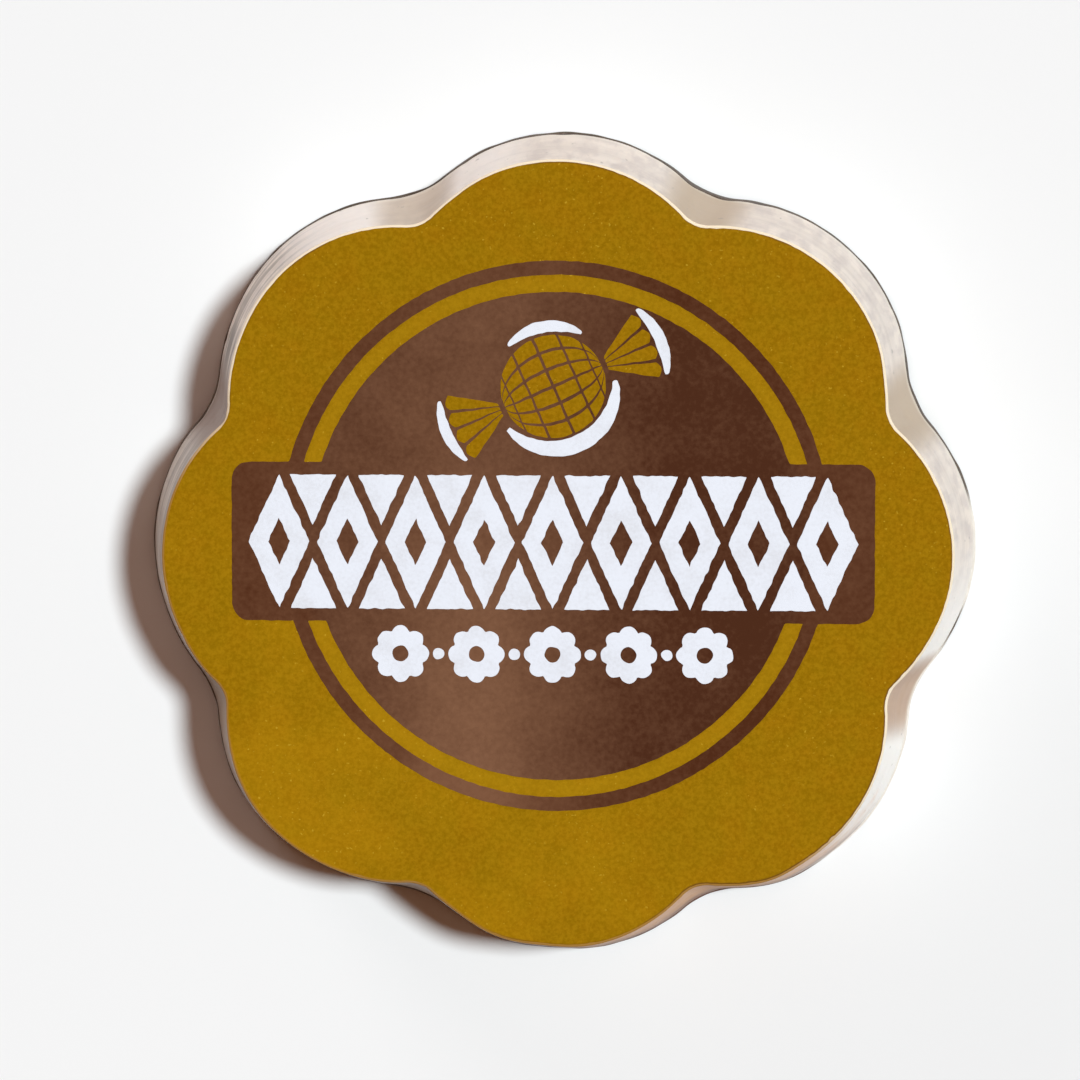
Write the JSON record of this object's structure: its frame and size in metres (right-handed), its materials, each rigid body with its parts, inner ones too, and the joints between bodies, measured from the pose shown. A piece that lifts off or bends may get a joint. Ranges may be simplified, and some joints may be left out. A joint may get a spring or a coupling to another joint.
{
  "type": "scalloped caramel candy",
  "caption": "Flat scalloped caramel sweet: a pale moulded slab with a thin dark base coat, its mustard top printed with a brown round emblem and a banner across it.",
  "frame": {"origin": "centre of the flat underside, on the surface that the sweet lies on", "axes": "+Z out of the printed face, +Y towards the top of the print, +X towards the right of the print"},
  "size_m": [0.0466, 0.0466, 0.007],
  "materials": {
    "base_coat": "thin dark brown coat, slightly uneven at its edge",
    "pale_coating": "pale off-white moulded coating with a soft satin sheen and fine lines along the wall",
    "mustard_print": "flat mustard printed colour with a fine grain",
    "brown_print": "brown printed colour, a little thinner in places",
    "white_print": "white printed colour with slightly ragged edges"
  },
  "bodies": {
    "root": {"base_layer": "base_coat", "candy_body": "pale_coating", "face_layer": "mustard_print", "face_emblem": "brown_print"}
  },
  "joints": []
}
